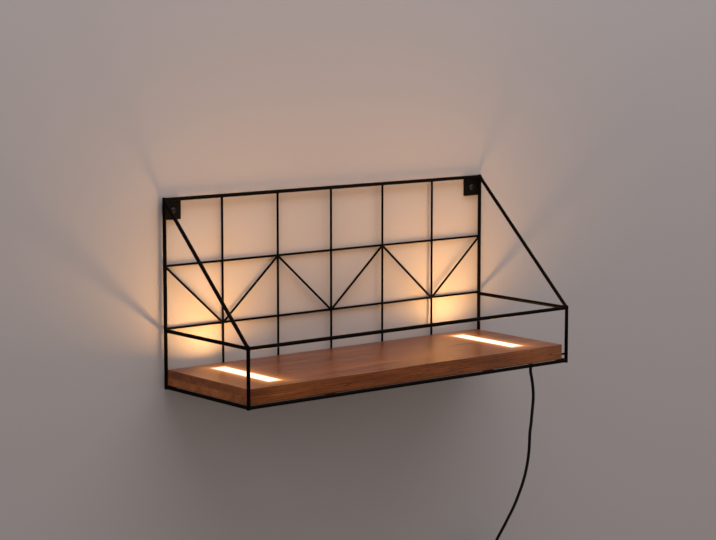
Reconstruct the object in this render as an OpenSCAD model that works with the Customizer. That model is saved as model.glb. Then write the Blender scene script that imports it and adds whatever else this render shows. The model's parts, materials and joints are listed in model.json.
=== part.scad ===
// Wall lamp with a shelf: a welded black wire frame that hangs on two wall
// screws, a hardwood board lying in its tray, and two light strips let into
// the top of the board. The lead leaves under the board's right end and ends
// in a plug-in power supply, with a rocker switch on the way.
//
// The origin lies on the wall, midway between the two wall screws. X runs
// along the wall to the right, Y into the wall, Z up. Millimetres.

/* [Wire frame] */
// Distance between the centres of the two uprights
frame_w = 446.5; // [400:0.5:520]
// Distance between the centres of the top rail and the tray rails
frame_h = 200; // [180:0.5:240]
// Distance between the centres of the wall-side rails and the front rails
frame_d = 148.5; // [140:0.5:180]
// Height of the gallery rail above the tray rails
gallery_h = 60.8; // [45:0.2:80]
// Diameter of the frame wire
frame_wire = 4; // [3.7:0.1:4.2]
// Gap that a weld bridges between a wire's cut end and its neighbour
weld_gap = 0.05; // [0.02:0.01:0.1]

/* [Grid] */
// Diameter of the grid wire
grid_wire = 2.5; // [2:0.1:2.5]
// Height of the lower grid bar above the tray rails
lower_bar_h = 62.2; // [50:0.2:75]
// Height of the upper grid bar above the tray rails
upper_bar_h = 129.3; // [110:0.1:150]

/* [Wall fixing] */
// Side of the square wall plates
plate_side = 20; // [19:0.5:24]
// Thickness of the wall plates
plate_t = 3; // [2.5:0.1:3.5]
// Gap between the frame wires and the wall, which the plates bridge
wall_gap = 2; // [1.9:0.1:2.4]
// Distance of a wall screw from the upright's centre and from the top rail's
screw_inset = 12; // [11:0.5:14]
// Diameter of the hole in a wall plate
plate_hole_d = 5; // [4.8:0.1:6]
// Diameter of the plain neck of a wall screw
wall_neck_d = 4.4; // [4.2:0.1:4.6]
// Diameter of a wall screw's thread behind the plate
wall_thread_d = 4; // [3:0.1:4.2]
// Length of a wall screw behind the plate
wall_screw_len = 30; // [20:1:50]
// Diameter of a wall screw's head
wall_head_d = 7.2; // [6.5:0.1:9]
// Height of a wall screw's head
wall_head_h = 2.4; // [1.8:0.1:3.5]

/* [Shelf board] */
// Thickness of the board
board_t = 17; // [16:0.5:22]
// Distance of the board's left end inside the centre of the left tray rail
board_left_inset = 0.5; // [0:0.1:1]
// Gap between the board's right end and the right tray rail
board_right_gap = 3.75; // [1:0.05:8]
// Clearance round the left post, in the board's corner
post_clearance = 0.3; // [0.2:0.05:0.6]
// Gap between the board's back edge and the grid
board_back_gap = 0.5; // [0.3:0.1:2]
// Distance of the board's front face behind the centre of the front tray rail
board_front_inset = 0.75; // [0:0.05:1]
// Radius of the board's eased edges
board_edge_r = 0.8; // [0.4:0.1:1.5]
// Distance of each bearer wire from the nearer upright
bearer_inset = 112; // [90:1:140]
// Width of the square tabs that the board is screwed to
tab_side = 12; // [10:0.5:15]
// Thickness of those tabs
tab_t = 1.5; // [1:0.1:2]
// Distance of a tab's centre from the board's front or back edge
tab_inset = 17; // [13:0.5:18]
// Diameter of the board screws
board_screw_d = 3; // [2.5:0.1:3.5]
// Length of the board screws in the wood
board_screw_len = 10; // [6:0.5:12]
// Diameter of the locking screw at the board's right end
lock_screw_d = 2.4; // [2:0.1:3]
// Height of the locking screw above the tray rails
lock_screw_h = 7.4; // [6:0.1:9]
// Length of the locking screw in the wood
lock_screw_len = 16; // [10:0.5:25]

/* [Light strips] */
// Width of the lit strip
strip_w = 20; // [16:0.5:26]
// Length of the lit strip, from front to back
strip_len = 107; // [90:1:115]
// Distance of the left strip's centre line from the board's left end
left_strip_inset = 50.25; // [35:0.25:70]
// Distance of the right strip's centre line from the board's right end
right_strip_inset = 49; // [35:0.25:70]
// Wall of the metal tray that holds a strip
tray_wall = 0.8; // [0.6:0.1:1.2]
// Height of that tray
tray_h = 9; // [8:0.5:9.5]
// Width of the ledge that the cover lens lies on
lens_ledge = 1; // [0.8:0.1:1.5]
// Thickness of the opal cover lens
lens_t = 2; // [1.5:0.1:2.5]
// Thickness of the light strip's circuit board
led_board_t = 1.2; // [1:0.1:1.6]
// Length of one light chip along the strip
chip_len = 3.5; // [2.5:0.1:4]
// Width of one light chip
chip_w = 2.8; // [2:0.1:3.5]
// Height of one light chip
chip_h = 0.7; // [0.5:0.1:1]

/* [Wiring] */
// Width of the wiring groove under the board
groove_w = 12; // [11:0.5:14]
// Depth of that groove above its cover
groove_depth = 5.6; // [5.2:0.1:6]
// Width of the groove's cover strip
cover_w = 26; // [24:0.5:30]
// Thickness of the cover strip
cover_t = 1; // [0.8:0.1:1.2]
// Diameter of the cover screws
cover_screw_d = 2.2; // [2:0.1:2.6]
// Length of the cover screws in the wood
cover_screw_len = 5; // [4:0.5:5.5]
// Diameter of the hole for the wires up into a strip's tray
wire_hole_d = 5; // [4.4:0.1:6]
// Diameter of one insulated wire inside the lamp
core_d = 1.2; // [1:0.1:1.4]
// Length of the connector block in the groove
connector_len = 14; // [12:0.5:16]
// Height of the connector block
connector_h = 5; // [4:0.1:5]

/* [Lead] */
// Diameter of the lead
cord_d = 3.5; // [3.3:0.1:3.6]
// Distance between neighbouring turns of the coil, centre to centre
turn_pitch = 4; // [4:0.1:4.4]
// Smallest radius of the coil's turns
coil_r_in = 13.25; // [12:0.25:15]
// Distance of the lead's exit from the board's right end
exit_end_gap = 14.5; // [13:0.5:20]
// Distance of the lead's exit from the board's front face
exit_front_gap = 36; // [34:0.5:60]
// Length of the tapered sleeve where the lead leaves the lamp
grip_sleeve_len = 12; // [8:0.25:20]
// Width of the strap that ties the coil
tie_w = 9; // [6:0.5:12]
// Thickness of that strap
tie_t = 1.2; // [0.8:0.1:2]
// Clearance of the strap round the turns
tie_gap = 0.3; // [0.2:0.1:0.6]

/* [Switch] */
// Length of the switch on the lead
switch_len = 44; // [40:0.5:56]
// Width of the switch
switch_w = 20; // [18:0.5:26]
// Thickness of the switch's case
switch_t = 14; // [13:0.5:14]
// Wall of the switch's case
switch_wall = 1.6; // [1.2:0.1:2]
// Radius of the rocker's ends round its pin
rocker_r = 8.5; // [7.5:0.1:9.5]
// Width of the rocker
rocker_w = 9.4; // [8:0.1:11]
// Tilt of the rocker either way from level
rocker_tilt = 8; // [6:0.5:9]
// Depth of the rocker's pin below the case's face
rocker_pin_depth = 2; // [1.8:0.1:2.4]
// Diameter of the rocker's pin
rocker_pin_d = 2; // [1.6:0.1:2.2]
// Running clearance between the rocker and its pin, on the radius
pin_play = 0.05; // [0.03:0.01:0.1]
// Clearance between the rocker and its window, on each side
rocker_gap = 0.3; // [0.2:0.05:0.5]

/* [Power supply] */
// Height of the power supply's case
supply_h = 52; // [46:0.5:64]
// Width of the case
supply_w = 38; // [32:0.5:46]
// Thickness of the case
supply_t = 28; // [26:0.5:29]
// Wall of the case
supply_wall = 2; // [1.5:0.1:2.5]
// Length of the two round pins
pin_len = 19; // [18:0.5:19]
// Diameter of the two pins
pin_d = 4; // [3.8:0.1:4.8]
// Distance between the two pins, centre to centre
pin_spacing = 19; // [18:0.5:19]
// Distance of the case from the wall that it hangs against
supply_wall_gap = 1; // [0.5:0.5:10]
// Length of the tapered sleeve on the lead above the case
supply_sleeve_len = 20; // [12:0.5:30]

/* [Hidden] */

// Counts and small fixed clearances
grid_columns = 6;
fit = 0.1;
seat_gap = 0.05;
past = 1;
smooth = 48;
fine = 32;

// Heights and depths of the frame
wire_r = frame_wire / 2;
grid_r = grid_wire / 2;
right_x = frame_w / 2;
frame_y = -wall_gap - wire_r;
front_y = frame_y - frame_d;
bar_y = frame_y + grid_wire + weld_gap;
top_z = screw_inset;
tray_z = top_z - frame_h;
gallery_z = tray_z + gallery_h;
lower_bar_z = tray_z + lower_bar_h;
upper_bar_z = tray_z + upper_bar_h;
column_w = frame_w / grid_columns;
bearer_x = right_x - bearer_inset;
wall_screw_x = right_x - screw_inset;

// The board
board_left = -right_x + board_left_inset;
board_right = right_x - wire_r - board_right_gap;
board_back = frame_y - grid_r - board_back_gap;
board_front = front_y + board_front_inset;
board_bottom = tray_z + wire_r;
board_top = board_bottom + board_t;
board_mid = [
    (board_left + board_right) / 2, (board_front + board_back) / 2, (board_bottom + board_top) / 2
];
board_size = [board_right - board_left, board_back - board_front, board_t];
tab_ys = [board_front + tab_inset, board_back - tab_inset];
pan_head_h = 1.8;
pan_head_d = 5.6;
lock_head_h = 2.6;
lock_head_d = 3.8;
lock_y = front_y + wire_r + lock_screw_d / 2 + fit;
lock_z = tray_z + lock_screw_h;

// The light strips
left_strip_x = board_left + left_strip_inset;
right_strip_x = board_right - right_strip_inset;
strip_y = board_mid[1];
tray_outer = [strip_w + 2 * tray_wall, strip_len + 2 * tray_wall];
tray_floor = 1;
tray_bottom = board_top - tray_h;
lens_bottom = board_top - lens_t;
led_board_bottom = tray_bottom + tray_floor;
chip_count = 12;
chip_pitch = (strip_len - 2 * lens_ledge - 8) / (chip_count - 1);

// The lead's exit, and the hang of the real one from there down to the coil:
// steps chosen by hand, to the right, towards the wall and down
exit_x = board_right - exit_end_gap;
wiring_y = board_front + exit_front_gap;
grip_bottom = board_bottom - grip_sleeve_len;
hang = [
    [0, 0, 0], [0, 0, -6], [2, 0, -14], [3.5, 0, -22], [4.5, 0, -31], [4.5, 0, -40],
    [3.5, 0, -49], [2.5, 0, -58], [1.5, 0, -67], [0, 0, -76], [-0.5, 0, -85], [0, 1, -94],
    [1, 3, -103], [2.5, 6, -112], [4.5, 10, -121], [6.5, 14.5, -130], [9, 20, -139],
    [11.5, 26, -148], [14, 32.5, -157], [16.5, 39, -166], [19, 46, -175], [21, 53, -184],
    [22.5, 60, -193], [23, 66, -202], [22.5, 71.5, -211], [22, 77, -220], [21.5, 81.5, -229],
    [21.5, 85, -238], [21.5, 87.5, -247], [21.5, 89, -255], [21.5, 89, -260]
];

// Wiring under the board, in line with the lead's exit
groove_left = left_strip_x - groove_w / 2;
groove_right = exit_x + groove_w / 2;
groove_floor = board_bottom + cover_t;
cover_margin = 6;
cover_left = groove_left - cover_margin;
cover_right = groove_right + cover_margin / 2;
cover_screw_y = (groove_w + cover_w) / 4;
cover_screw_xs = [
    cover_left + cover_margin, -bearer_x + 3 * cover_margin, 0,
    bearer_x + 3 * cover_margin, exit_x - 2 * cover_margin
];
connector_w = 9;
connector_x = (right_strip_x + tray_outer[0] / 2 + exit_x) / 2 - connector_len / 4;
grip_hole_d = 6.6;
grip_neck_d = grip_hole_d - 2 * fit;
grip_flange_d = 9;
grip_flange_t = 1.2;
grip_tip_d = 4.8;
grip_top = groove_floor + seat_gap + grip_flange_t;
core_z = groove_floor + groove_depth / 2;
core_step = 1.3;

// The coil: turns spiral in and out again, one layer behind the other
coil_layers = 4;
turns_per_layer = 3;
coil_turns = coil_layers * turns_per_layer;
rings_per_turn = 24;
coil_sides = 6;
coil_r_out = coil_r_in + turns_per_layer * turn_pitch;
coil_depth = (coil_layers - 1) * turn_pitch;
lead_y = -supply_t / 2 - supply_wall_gap;
coil_y = lead_y - coil_depth;
to_wall = (coil_y - wiring_y) / hang[len(hang) - 1][1];
route = [for (p = hang) [exit_x + p[0], wiring_y + p[1] * to_wall, grip_bottom + p[2]]];
route_end = route[len(route) - 1];
cord_r = cord_d / 2;
cord_sides = 8;
coil_start = [route_end[0], route_end[1], route_end[2] - cord_d];
coil_x = coil_start[0] - coil_r_out;
coil_z = coil_start[2];
coil_out = [coil_start[0], coil_y + coil_depth, coil_z - cord_d];

// The switch and the power supply hang below the coil on the same line
lead_x = coil_out[0];
switch_lead_len = 22;
switch_top = coil_out[2] - switch_lead_len;
switch_z = switch_top - switch_len / 2;
switch_bottom = switch_top - switch_len;
switch_face_y = lead_y - switch_t / 2;
switch_corner_r = 6;
rocker_pin_y = switch_face_y + rocker_pin_depth;
rocker_rest_v = 1.6;
rocker_under = 2.5;
rocker_cheek_t = 1.6;
window_w = rocker_w + 2 * rocker_gap;
window_len = 2 * (rocker_r + rocker_gap);
rocker_pin_len = window_w + 2 * rocker_cheek_t;
supply_lead_len = 34;
supply_sleeve_top = switch_bottom - supply_lead_len;
supply_top = supply_sleeve_top - supply_sleeve_len;
supply_z = supply_top - supply_h / 2;
supply_face_y = lead_y - supply_t / 2;
supply_corner_r = 5;
supply_split_y = lead_y + supply_t / 6;
pin_sleeve_d = pin_d - 0.6;
pin_core_d = pin_d - 1.8;
pin_sleeve_len = pin_len / 2;
pin_z = supply_z - supply_h / 8;
pin_root_len = 4;
sleeve_foot_d = 9;
sleeve_tip_d = cord_d + 1.3;

// The last index of a list
function last(list) = len(list) - 1;

// Unit vector along v
function unit(v) = v / norm(v);

// Direction of a path at point i, from its neighbours
function heading(path, i) =
    unit(path[min(i + 1, last(path))] - path[max(i - 1, 0)]);

// Ring of a tube's skin: points round the path at point i, square to it.
// The reference vector is one that the path never runs along.
function ring(path, i, radius, sides, reference) =
    let (t = heading(path, i), u = unit(cross(t, reference)), v = cross(t, u))
    [for (k = [0 : sides - 1])
        path[i] + radius * (cos(360 * k / sides) * u + sin(360 * k / sides) * v)];

// Centre line of the coil at turn number u: the radius falls and rises at a
// steady rate, and the path climbs a layer in the half turn where it reverses
function coil_radius(u) =
    let (phase = u - 2 * turns_per_layer * floor(u / (2 * turns_per_layer)))
    phase < turns_per_layer
        ? coil_r_out - turn_pitch * phase
        : coil_r_in + turn_pitch * (phase - turns_per_layer);
function climb(u, at) =
    let (t = min(1, max(0, 2 * (u - at) + 0.5)))
    (1 - cos(180 * t)) / 2;
function coil_rise(u) =
    turn_pitch * ([for (k = [1 : coil_layers - 1]) climb(u, k * turns_per_layer)]
        * [for (k = [1 : coil_layers - 1]) 1]);
function coil_point(u) = [
    coil_x + coil_radius(u) * cos(360 * u),
    coil_y + coil_rise(u),
    coil_z - coil_radius(u) * sin(360 * u)
];
coil_path = concat(
    [route_end],
    [for (i = [0 : coil_turns * rings_per_turn]) coil_point(i / rings_per_turn)],
    [coil_out]
);

// Least gap between the coil's turns, measured from point to point
coil_gap = min([
    for (i = [1 : last(coil_path) - 1])
        let (first = i + floor(rings_per_turn / 2))
        if (first < last(coil_path))
            min([for (j = [first : last(coil_path) - 1])
                norm(coil_path[i] - coil_path[j])]) - cord_d
]);
function path_length(path) =
    [for (i = [1 : last(path)]) norm(path[i] - path[i - 1])]
        * [for (i = [1 : last(path)]) 1];
cord_length = path_length(route) + path_length(coil_path)
    + switch_lead_len + supply_lead_len;
echo(coil_gap = coil_gap, cord_length = cord_length);

// A closed tube along a path
module tube(path, radius, sides, reference) {
    n = len(path);
    skin = [for (i = [0 : n - 1]) each ring(path, i, radius, sides, reference)];
    walls = [
        for (i = [0 : n - 2], k = [0 : sides - 1])
            let (a = i * sides + k, b = i * sides + (k + 1) % sides)
            each [[a, a + sides, b], [b, a + sides, b + sides]]
    ];
    start_cap = [for (k = [1 : sides - 2]) [0, k, k + 1]];
    tip = (n - 1) * sides;
    end_cap = [for (k = [1 : sides - 2]) [tip, tip + k + 1, tip + k]];
    polyhedron(points = skin, faces = concat(walls, start_cap, end_cap), convexity = 10);
}

// A straight wire between two points
module wire(from, to, d) {
    run = to - from;
    translate(from)
        rotate([0, acos(run[2] / norm(run)), atan2(run[1], run[0])])
            cylinder(h = norm(run), d = d, $fn = fine);
}

// A rectangle with round corners, centred
module round_rect(w, h, r) {
    square([w - 2 * r, h], center = true);
    square([w, h - 2 * r], center = true);
    for (x = [-1, 1], y = [-1, 1])
        translate([x * (w / 2 - r), y * (h / 2 - r)]) circle(r = r, $fn = fine);
}

// Solids drawn in the YZ, XZ or XY plane and centred on the third axis
module along_x(len) {
    rotate([90, 0, 90]) linear_extrude(height = len, center = true) children();
}
module along_y(len) {
    rotate([90, 0, 0]) linear_extrude(height = len, center = true) children();
}
module along_z(len) {
    linear_extrude(height = len, center = true) children();
}

// Cutters: the space of an upright, post or rail with the weld's gap round it
module upright_space(side) {
    wire([side * right_x, frame_y, tray_z - frame_wire], [side * right_x, frame_y, top_z + frame_wire],
        frame_wire + 2 * weld_gap);
}
module post_space(side) {
    wire([side * right_x, front_y, tray_z - frame_wire], [side * right_x, front_y, gallery_z + frame_wire],
        frame_wire + 2 * weld_gap);
}
module long_rail_space(y, z) {
    wire([-right_x, y, z], [right_x, y, z], frame_wire + 2 * weld_gap);
}
module side_rail_space(side, z) {
    wire([side * right_x, frame_y, z], [side * right_x, front_y, z], frame_wire + 2 * weld_gap);
}
module grid_vertical_space(column) {
    x = -right_x + column * column_w;
    wire([x, frame_y, tray_z], [x, frame_y, top_z], grid_wire + 2 * weld_gap);
}

// The four corner uprights and posts
module upright(side) {
    color("#17140f")
        wire([side * right_x, frame_y, tray_z - wire_r],
            [side * right_x, frame_y, top_z + wire_r], frame_wire);
}
module post(side) {
    color("#17140f")
        wire([side * right_x, front_y, tray_z - wire_r],
            [side * right_x, front_y, gallery_z + wire_r], frame_wire);
}

// Rails that run left to right, coped onto the uprights or the posts
module back_rail(z) {
    color("#17140f") difference() {
        wire([-right_x, frame_y, z], [right_x, frame_y, z], frame_wire);
        upright_space(-1);
        upright_space(1);
    }
}
module front_rail(z) {
    color("#17140f") difference() {
        wire([-right_x, front_y, z], [right_x, front_y, z], frame_wire);
        post_space(-1);
        post_space(1);
    }
}

// Rails that run front to back at the sides
module side_rail(side, z) {
    color("#17140f") difference() {
        wire([side * right_x, frame_y, z], [side * right_x, front_y, z], frame_wire);
        upright_space(side);
        post_space(side);
    }
}

// Slanting brace from the top of an upright to the top of the post
module brace(side) {
    color("#17140f") difference() {
        wire([side * right_x, frame_y, top_z], [side * right_x, front_y, gallery_z], frame_wire);
        upright_space(side);
        long_rail_space(frame_y, top_z);
        post_space(side);
        side_rail_space(side, gallery_z);
        long_rail_space(front_y, gallery_z);
    }
}

// Bearer wire under the board, with the two screw tabs welded to it
module bearer(side) {
    color("#17140f") difference() {
        union() {
            wire([side * bearer_x, frame_y, tray_z], [side * bearer_x, front_y, tray_z], frame_wire);
            for (y = tab_ys)
                translate([side * (bearer_x + tab_side / 2), y, board_bottom - tab_t / 2])
                    cube([tab_side, tab_side, tab_t], center = true);
        }
        long_rail_space(frame_y, tray_z);
        long_rail_space(front_y, tray_z);
        for (y = tab_ys)
            translate([side * tab_hole_x(), y, board_bottom - tab_t - past])
                cylinder(h = tab_t + 2 * past, d = board_screw_d + 2 * fit, $fn = fine);
    }
}
function tab_hole_x() = bearer_x + wire_r + (tab_side - wire_r) / 2;

// Grid: verticals between the top rail and the tray, in the frame's plane
module grid_vertical(column) {
    x = -right_x + column * column_w;
    color("#1b1712") difference() {
        wire([x, frame_y, tray_z], [x, frame_y, top_z], grid_wire);
        long_rail_space(frame_y, tray_z);
        long_rail_space(frame_y, top_z);
    }
}

// Grid: bars behind the verticals, from upright to upright
module grid_bar(z) {
    color("#1b1712") difference() {
        wire([-right_x, bar_y, z], [right_x, bar_y, z], grid_wire);
        upright_space(-1);
        upright_space(1);
    }
}

// Grid: two slanting wires that meet at the foot of an odd vertical
module grid_vee(pair) {
    foot = 2 * pair + 1;
    color("#1b1712")
        for (side = [-1, 1]) difference() {
            wire([-right_x + (foot + side) * column_w, frame_y, upper_bar_z],
                [-right_x + foot * column_w, frame_y, lower_bar_z], grid_wire);
            grid_vertical_space(foot);
            if (foot + side > 0 && foot + side < grid_columns) grid_vertical_space(foot + side);
            if (foot + side == 0) upright_space(-1);
            if (foot + side == grid_columns) upright_space(1);
        }
}

// Square plate in each top corner, against the upright and the top rail, with
// a hole for the wall screw
module wall_plate(side) {
    behind_centre = -frame_y - plate_t;
    edge = sqrt(max(0, pow(wire_r + weld_gap, 2) - pow(behind_centre, 2)));
    middle = edge + plate_side / 2;
    color("#1a1815") difference() {
        translate([side * (right_x - middle), -plate_t / 2, top_z - middle])
            cube([plate_side, plate_t, plate_side], center = true);
        translate([side * wall_screw_x, past, 0])
            rotate([90, 0, 0]) cylinder(h = plate_t + 2 * past, d = plate_hole_d, $fn = smooth);
    }
}

// The two wall screws: domed head with a cross, plain neck, thread and point
module wall_screw() {
    dome_r = (pow(wall_head_d / 2, 2) + pow(wall_head_h, 2)) / (2 * wall_head_h);
    point_len = wall_thread_d;
    color("#24211d") difference() {
        union() {
            translate([0, -plate_t, 0]) rotate([90, 0, 0]) intersection() {
                cylinder(h = wall_head_h, d = wall_head_d, $fn = smooth);
                translate([0, 0, wall_head_h - dome_r]) sphere(r = dome_r, $fn = smooth);
            }
            rotate([90, 0, 0]) cylinder(h = plate_t, d = wall_neck_d, $fn = smooth);
            rotate([-90, 0, 0]) cylinder(h = wall_screw_len - point_len, d = wall_thread_d, $fn = smooth);
            translate([0, wall_screw_len - point_len, 0])
                rotate([-90, 0, 0]) cylinder(h = point_len, d1 = wall_thread_d, d2 = 0.6, $fn = smooth);
        }
        for (turn = [0, 90])
            translate([0, -plate_t - wall_head_h, 0]) rotate([0, turn, 0])
                cube([wall_head_d / 2, 2.6, 0.9], center = true);
    }
}
module wall_screws() {
    for (side = [-1, 1]) translate([side * wall_screw_x, 0, 0]) wall_screw();
}

// The board, with its edges eased all round
module board_blank() {
    translate(board_mid) intersection() {
        along_x(board_size[0]) round_rect(board_size[1], board_size[2], board_edge_r);
        along_y(board_size[1]) round_rect(board_size[0], board_size[2], board_edge_r);
        along_z(board_size[2]) round_rect(board_size[0], board_size[1], board_edge_r);
    }
}
module lock_screw_space() {
    translate([board_right - lock_screw_len, lock_y, lock_z]) rotate([0, 90, 0])
        cylinder(h = lock_screw_len + past, d = lock_screw_d + 2 * seat_gap, $fn = fine);
}
module shelf_board() {
    color("#8a5238") difference() {
        board_blank();
        translate([-right_x, front_y, board_bottom - past])
            cylinder(h = board_t + 2 * past, r = wire_r + post_clearance, $fn = smooth);
        for (x = [left_strip_x, right_strip_x]) {
            translate([x, strip_y, tray_bottom - seat_gap + (tray_h + past) / 2])
                cube([tray_outer[0] + 2 * fit, tray_outer[1] + 2 * fit, tray_h + past], center = true);
            translate([x, wiring_y, board_bottom])
                cylinder(h = board_t - tray_h + past, d = wire_hole_d, $fn = fine);
        }
        translate([groove_left, wiring_y - groove_w / 2, board_bottom - past])
            cube([groove_right - groove_left, groove_w, cover_t + groove_depth + past]);
        translate([cover_left - fit, wiring_y - cover_w / 2 - fit, board_bottom - past])
            cube([cover_right - cover_left + 2 * fit, cover_w + 2 * fit, cover_t + seat_gap + past]);
        for (side = [-1, 1], y = tab_ys)
            translate([side * tab_hole_x(), y, board_bottom - past])
                cylinder(h = board_screw_len + past + fit, d = board_screw_d + 2 * seat_gap, $fn = fine);
        for (i = [0 : len(cover_screw_xs) - 1])
            translate([cover_screw_xs[i], cover_screw_line(i), board_bottom])
                cylinder(h = cover_t + cover_screw_len + fit, d = cover_screw_d + 2 * seat_gap, $fn = fine);
        lock_screw_space();
    }
}
function cover_screw_line(i) = wiring_y + (i % 2 == 0 ? 1 : -1) * cover_screw_y;

// Small pan-head screw pointing up, its head's seat at the origin
module pan_screw(d, length, head_d, head_h) {
    difference() {
        union() {
            translate([0, 0, -head_h]) cylinder(h = head_h, d = head_d, $fn = fine);
            cylinder(h = length, d = d, $fn = fine);
        }
        for (turn = [0, 90])
            translate([0, 0, -head_h]) rotate([0, 0, turn])
                cube([head_d * 0.6, 0.7, head_h], center = true);
    }
}
module board_screws() {
    color("#24211d")
        for (side = [-1, 1], y = tab_ys)
            translate([side * tab_hole_x(), y, board_bottom - tab_t])
                pan_screw(board_screw_d, tab_t + board_screw_len, pan_head_d, pan_head_h);
}

// Locking screw in the board's right end, close behind the right post
module board_lock_screw() {
    seat_x = right_x + wire_r + seat_gap;
    slot = [lock_head_h, lock_head_d + past, 0.8];
    color("#24211d") translate([seat_x, lock_y, lock_z]) rotate([0, 90, 0]) difference() {
        union() {
            translate([0, 0, board_right - seat_x - lock_screw_len + fit])
                cylinder(h = lock_screw_len + seat_x - board_right, d = lock_screw_d, $fn = fine);
            cylinder(h = lock_head_h, d = lock_head_d, $fn = fine);
        }
        translate([0, 0, lock_head_h]) cube([slot[2], slot[1], slot[0]], center = true);
    }
}

// Metal tray of a light strip: thin walls round the lens, a ledge under it
module strip_tray(x) {
    color("#b9bcc0") translate([x, strip_y, tray_bottom]) difference() {
        translate([0, 0, tray_h / 2]) cube([tray_outer[0], tray_outer[1], tray_h], center = true);
        translate([0, 0, tray_h - lens_t / 2 + past / 2])
            cube([strip_w, strip_len, lens_t + past], center = true);
        translate([0, 0, tray_floor + tray_h / 2])
            cube([strip_w - 2 * lens_ledge, strip_len - 2 * lens_ledge, tray_h], center = true);
        translate([0, wiring_y - strip_y, -past])
            cylinder(h = tray_floor + 2 * past, d = wire_hole_d, $fn = fine);
    }
}

// Circuit board on the tray's floor, with a hole for the two wires
module led_board(x) {
    board_w = strip_w - 2 * lens_ledge - 2 * fit;
    board_l = strip_len - 2 * lens_ledge - 2 * fit;
    color("#e9e7df") translate([x, strip_y, led_board_bottom]) difference() {
        translate([0, 0, led_board_t / 2]) cube([board_w, board_l, led_board_t], center = true);
        translate([0, wiring_y - strip_y, -past])
            cylinder(h = led_board_t + 2 * past, d = wire_hole_d - 1, $fn = fine);
    }
}

// Light chips in one row beside the board's centre line
module led_chips() {
    color("#ffe3a8")
        for (x = [left_strip_x, right_strip_x], i = [0 : chip_count - 1])
            translate([x + chip_w + 1, strip_y + (i - (chip_count - 1) / 2) * chip_pitch,
                    led_board_bottom + led_board_t + chip_h / 2])
                cube([chip_w, chip_len, chip_h], center = true);
}

// Opal lens, flush with the board's top
module lens(x) {
    color("#fff3d9") translate([x, strip_y, lens_bottom + seat_gap + (lens_t - seat_gap) / 2])
        cube([strip_w - 2 * fit, strip_len - 2 * fit, lens_t - seat_gap], center = true);
}

// Cover strip let flush into the board's underside
module wiring_cover() {
    color("#1d1b18") difference() {
        translate([cover_left, wiring_y - cover_w / 2, board_bottom])
            cube([cover_right - cover_left, cover_w, cover_t]);
        translate([exit_x, wiring_y, board_bottom - past])
            cylinder(h = cover_t + 2 * past, d = grip_hole_d, $fn = fine);
        for (i = [0 : len(cover_screw_xs) - 1])
            translate([cover_screw_xs[i], cover_screw_line(i), board_bottom - past])
                cylinder(h = cover_t + 2 * past, d = cover_screw_d + 2 * fit, $fn = fine);
    }
}
module cover_screws() {
    color("#24211d")
        for (i = [0 : len(cover_screw_xs) - 1])
            translate([cover_screw_xs[i], cover_screw_line(i), board_bottom])
                pan_screw(cover_screw_d, cover_t + cover_screw_len, 4.2, 1.3);
}

// Connector block that joins the lead to both strips
module wire_connector() {
    color("#e6e2d8") difference() {
        translate([connector_x, wiring_y, groove_floor + seat_gap + connector_h / 2])
            cube([connector_len, connector_w, connector_h], center = true);
        for (side = [-1, 1], end = [-1, 1])
            translate([connector_x + end * connector_len / 2, wiring_y + side * connector_w / 4, core_z])
                rotate([0, 90, 0]) cylinder(h = connector_len / 2, d = 3, center = true, $fn = fine);
    }
}

// Insulated cores: from the lead to the connector, and from there to a strip
module core_run(from_x, to_x, y) {
    wire([from_x, y, core_z], [to_x, y, core_z], core_d);
}
module core_riser(x, y, top_z_) {
    wire([x, y, core_z], [x, y, top_z_], core_d - 0.1);
}
module inner_wires() {
    solder_z = led_board_bottom + led_board_t + 0.5;
    entry = connector_len / 4 + fit;
    color("#b03a2e")
        for (side = [-1, 1]) {
            run_y = wiring_y + side * connector_w / 4;
            union() {
                core_run(connector_x + entry, exit_x, run_y);
                wire([exit_x, wiring_y + side * core_step, core_z], [exit_x, run_y, core_z], core_d - 0.1);
                wire([exit_x, wiring_y + side * core_step, grip_top],
                    [exit_x, wiring_y + side * core_step, core_z + core_d / 2], core_d - 0.1);
            }
            union() {
                core_run(connector_x - entry, right_strip_x, run_y - side * 0.8);
                wire([right_strip_x, run_y - side * 0.8, core_z],
                    [right_strip_x, wiring_y + side * core_step, core_z], core_d - 0.1);
                core_riser(right_strip_x, wiring_y + side * core_step, solder_z);
            }
            union() {
                core_run(connector_x - entry, left_strip_x, run_y + side * 0.6);
                wire([left_strip_x, run_y + side * 0.6, core_z],
                    [left_strip_x, wiring_y + side * core_step, core_z], core_d - 0.1);
                core_riser(left_strip_x, wiring_y + side * core_step, solder_z);
            }
        }
}

// Sleeve moulded on the lead's end: flange inside, collar and taper outside
module cord_grip() {
    collar_t = 1.4;
    color("#1c1a18") translate([exit_x, wiring_y, 0]) rotate_extrude($fn = smooth) polygon([
        [0, grip_bottom],
        [grip_tip_d / 2, grip_bottom],
        [grip_neck_d / 2, board_bottom - collar_t],
        [grip_flange_d / 2, board_bottom - collar_t],
        [grip_flange_d / 2, board_bottom - seat_gap],
        [grip_neck_d / 2, board_bottom - seat_gap],
        [grip_neck_d / 2, groove_floor + seat_gap],
        [grip_flange_d / 2, groove_floor + seat_gap],
        [grip_flange_d / 2, grip_top],
        [0, grip_top]
    ]);
}

// The lead
module cord_drop() {
    color("#191715") tube(route, cord_r, cord_sides, [1, 0, 0]);
}
module cord_coil() {
    color("#191715") tube(coil_path, cord_r, coil_sides, [0, 1, 0]);
}
module cord_switch_lead() {
    color("#191715") wire(coil_out, [lead_x, lead_y, switch_top], cord_d);
}
module cord_supply_lead() {
    color("#191715") wire([lead_x, lead_y, switch_bottom], [lead_x, lead_y, supply_sleeve_top], cord_d);
}

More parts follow.
